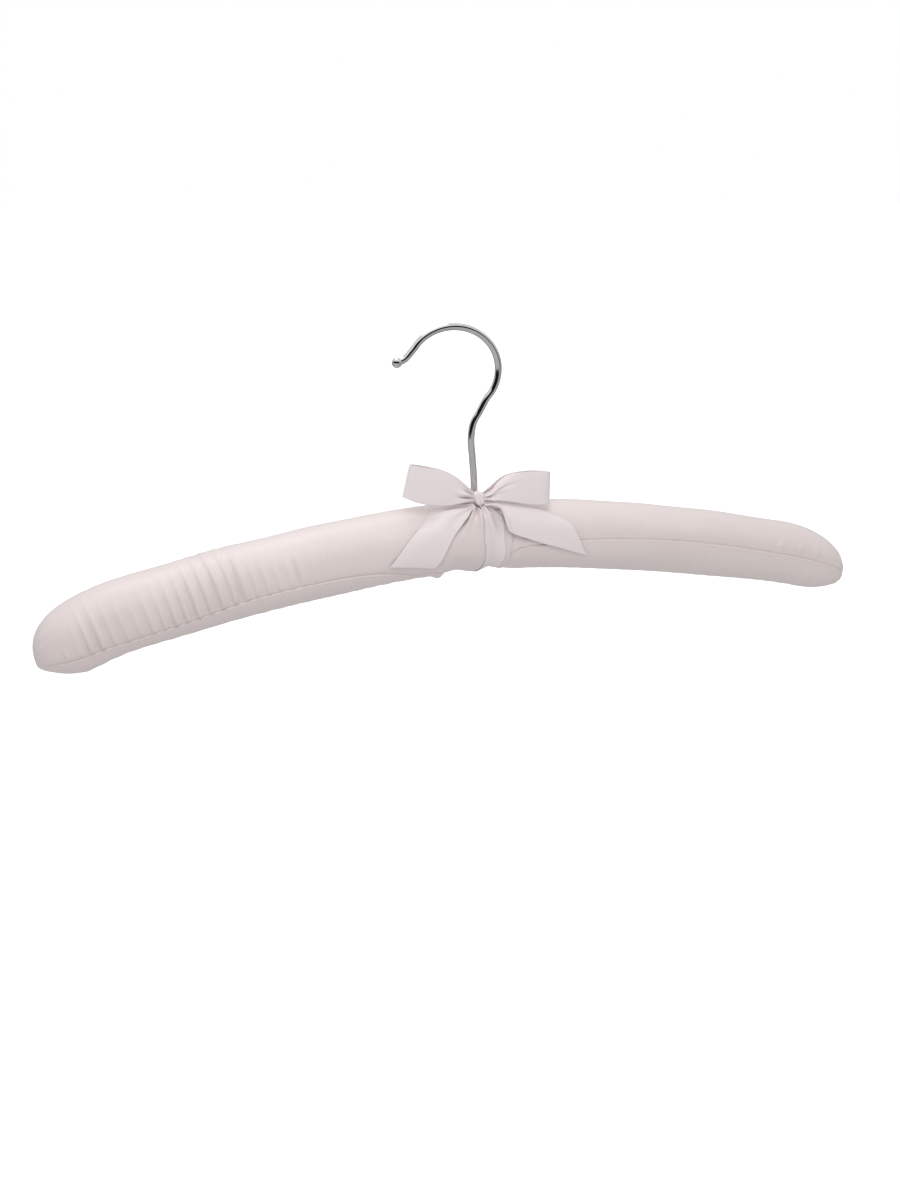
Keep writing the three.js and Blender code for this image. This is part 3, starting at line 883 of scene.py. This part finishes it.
def place_piece(piece, body, node):
    """Make a piece ride on a body and stand for a CAD node, which is hidden."""
    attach(piece, body)
    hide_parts(node)
    return piece


def build():
    place_piece(hook(), "hook", "hook")
    for side in ARMS:
        wadding = place_piece(wadding_sleeve(side), "hanger", f"{side}_wadding")
        for half in ("upper", "lower"):
            panel = cover_panel(side, half)
            place_piece(panel, "hanger", f"{side}_{half}_panel")
    wrap = place_piece(centre_wrap(), "hanger", "centre_wrap")
    band = place_piece(ribbon_band(), "hanger", "ribbon_band")
    knot = place_piece(bow_knot(), "hanger", "bow_knot")
    for side in ARMS:
        loop = place_piece(bow_loop(side), "hanger", f"bow_{side}_loop")
        tail = place_piece(bow_tail(side), "hanger", f"bow_{side}_tail")


def finish_kept_nodes():
    """Materials for the CAD nodes that stay as they are."""
    for node, look in (("hook_washer", STEEL), ("wood_core", WOOD)):
        thing = frame["nodes"][node]
        thing.data.materials.clear()
        thing.data.materials.append(look)


# ---- Studio ---------------------------------------------------------------------------------------

# Angles are in degrees, the lens and its sensor in millimetres, and distances in metres
CAMERA_AZIMUTH = -20
CAMERA_ELEVATION = 17
CAMERA_ROLL = 0.2
CAMERA_DISTANCE = 0.597
CAMERA_LENS = 40.45
SENSOR_WIDTH = 36
LOOK_AT = WAIST + np.array([-10.9, 0, -30.4]) * MM
FLOOR_HEIGHT = -0.36
FLOOR_REACH = 30
FLOOR_GLOW = 0.6
ROOM_LIGHT = 0.72
DARK_SIDE = (-0.5, -0.87, 0.0)  # the direction of the dark wall


def camera():
    """The camera, placed by its direction and distance from what it looks at."""
    data = bpy.data.cameras.new("camera")
    data.lens = CAMERA_LENS
    data.sensor_width = SENSOR_WIDTH
    data.clip_start = 0.01
    data.clip_end = 100
    azimuth = math.radians(CAMERA_AZIMUTH)
    elevation = math.radians(CAMERA_ELEVATION)
    level = math.cos(elevation)
    back = Vector((math.sin(azimuth) * level, -math.cos(azimuth) * level, math.sin(elevation)))
    thing = bpy.data.objects.new("camera", data)
    thing.location = Vector(LOOK_AT) + back * CAMERA_DISTANCE
    thing.rotation_mode = "QUATERNION"
    turn = back.to_track_quat("Z", "Y")
    roll = Quaternion((0, 0, 1), math.radians(CAMERA_ROLL))
    thing.rotation_quaternion = turn @ roll
    bpy.context.scene.collection.objects.link(thing)
    bpy.context.scene.camera = thing


def area_light(name, place, size, watts, reflected=True):
    """A round soft light aimed at the object. The chrome shows it only if it is reflected."""
    data = bpy.data.lights.new(name, "AREA")
    data.shape = "DISK"
    data.size = size
    data.energy = watts
    thing = bpy.data.objects.new(name, data)
    thing.location = place
    aim = Vector(LOOK_AT) - Vector(place)
    thing.rotation_mode = "QUATERNION"
    thing.rotation_quaternion = aim.to_track_quat("-Z", "Y")
    thing.visible_glossy = reflected
    bpy.context.scene.collection.objects.link(thing)


def floor():
    """A white floor. It lights nothing, so that the undersides keep their shade."""
    mesh = bpy.data.meshes.new("studio_floor")
    signs = [(-1, -1), (1, -1), (1, 1), (-1, 1)]
    corners = [(x * FLOOR_REACH, y * FLOOR_REACH, FLOOR_HEIGHT) for x, y in signs]
    mesh.from_pydata(corners, [], [(0, 1, 2, 3)])
    thing = bpy.data.objects.new("studio_floor", mesh)
    material, tree, shader = node_tree("pale_floor")
    shader.inputs["Base Color"].default_value = (0.9, 0.9, 0.9, 1)
    shader.inputs["Roughness"].default_value = 0.9
    shader.inputs["Emission Color"].default_value = (1, 1, 1, 1)
    shader.inputs["Emission Strength"].default_value = FLOOR_GLOW
    mesh.materials.append(material)
    bpy.context.scene.collection.objects.link(thing)
    thing.visible_diffuse = False
    thing.visible_glossy = False


def grey(level):
    return (level, level, level)


def mix(tree, factor, first, second):
    """The socket of a colour that goes from first to second as factor goes from 0 to 1."""
    node = add(tree, "ShaderNodeMix", {"data_type": "RGBA"})
    tree.links.new(factor, node.inputs[0])
    for place, colour in ((6, first), (7, second)):
        if isinstance(colour, bpy.types.NodeSocket):
            tree.links.new(colour, node.inputs[place])
        else:
            node.inputs[place].default_value = (*colour, 1)
    return node.outputs[2]


def world():
    """A white room: bright where the camera looks into it and softer as a light on the object, with
    one dark wall that the chrome reflects."""
    studio = bpy.data.worlds.new("studio")
    bpy.context.scene.world = studio
    studio.use_nodes = True
    tree = studio.node_tree
    background = tree.nodes["Background"]
    path = add(tree, "ShaderNodeLightPath")
    heading = add(tree, "ShaderNodeTexCoord").outputs["Generated"]
    rise = add(tree, "ShaderNodeSeparateXYZ", Vector=heading).outputs["Z"]
    level = add(tree, "ShaderNodeMapRange", Value=rise)
    level.inputs["From Min"].default_value = -1
    level = level.outputs["Result"]
    behind = ramp(tree, level, (0.5, grey(0.4)), (0.75, grey(0.85)))
    ahead = ramp(
        tree, level, (0.42, grey(0.55)), (0.46, grey(0.01)), (0.77, grey(0.01)), (0.81, grey(1))
    )
    towards = add(tree, "ShaderNodeVectorMath", {"operation": "DOT_PRODUCT"})
    tree.links.new(heading, towards.inputs[0])
    towards.inputs[1].default_value = DARK_SIDE
    front = ramp(tree, towards.outputs["Value"], (0.2, grey(0)), (0.45, grey(1)))
    lit = mix(tree, path.outputs["Is Glossy Ray"], grey(ROOM_LIGHT), mix(tree, front, behind, ahead))
    seen = mix(tree, path.outputs["Is Camera Ray"], lit, grey(1))
    tree.links.new(seen, background.inputs["Color"])
    background.inputs["Strength"].default_value = 1.0


build()
finish_kept_nodes()
camera()
world()
floor()
area_light("overhead", (-0.1, 0.3, 1.1), 0.8, 3.5)
area_light("front", (-0.08, -0.24, 0.19), 0.2, 0.38, reflected=False)
bpy.context.scene.view_settings.view_transform = "Standard"
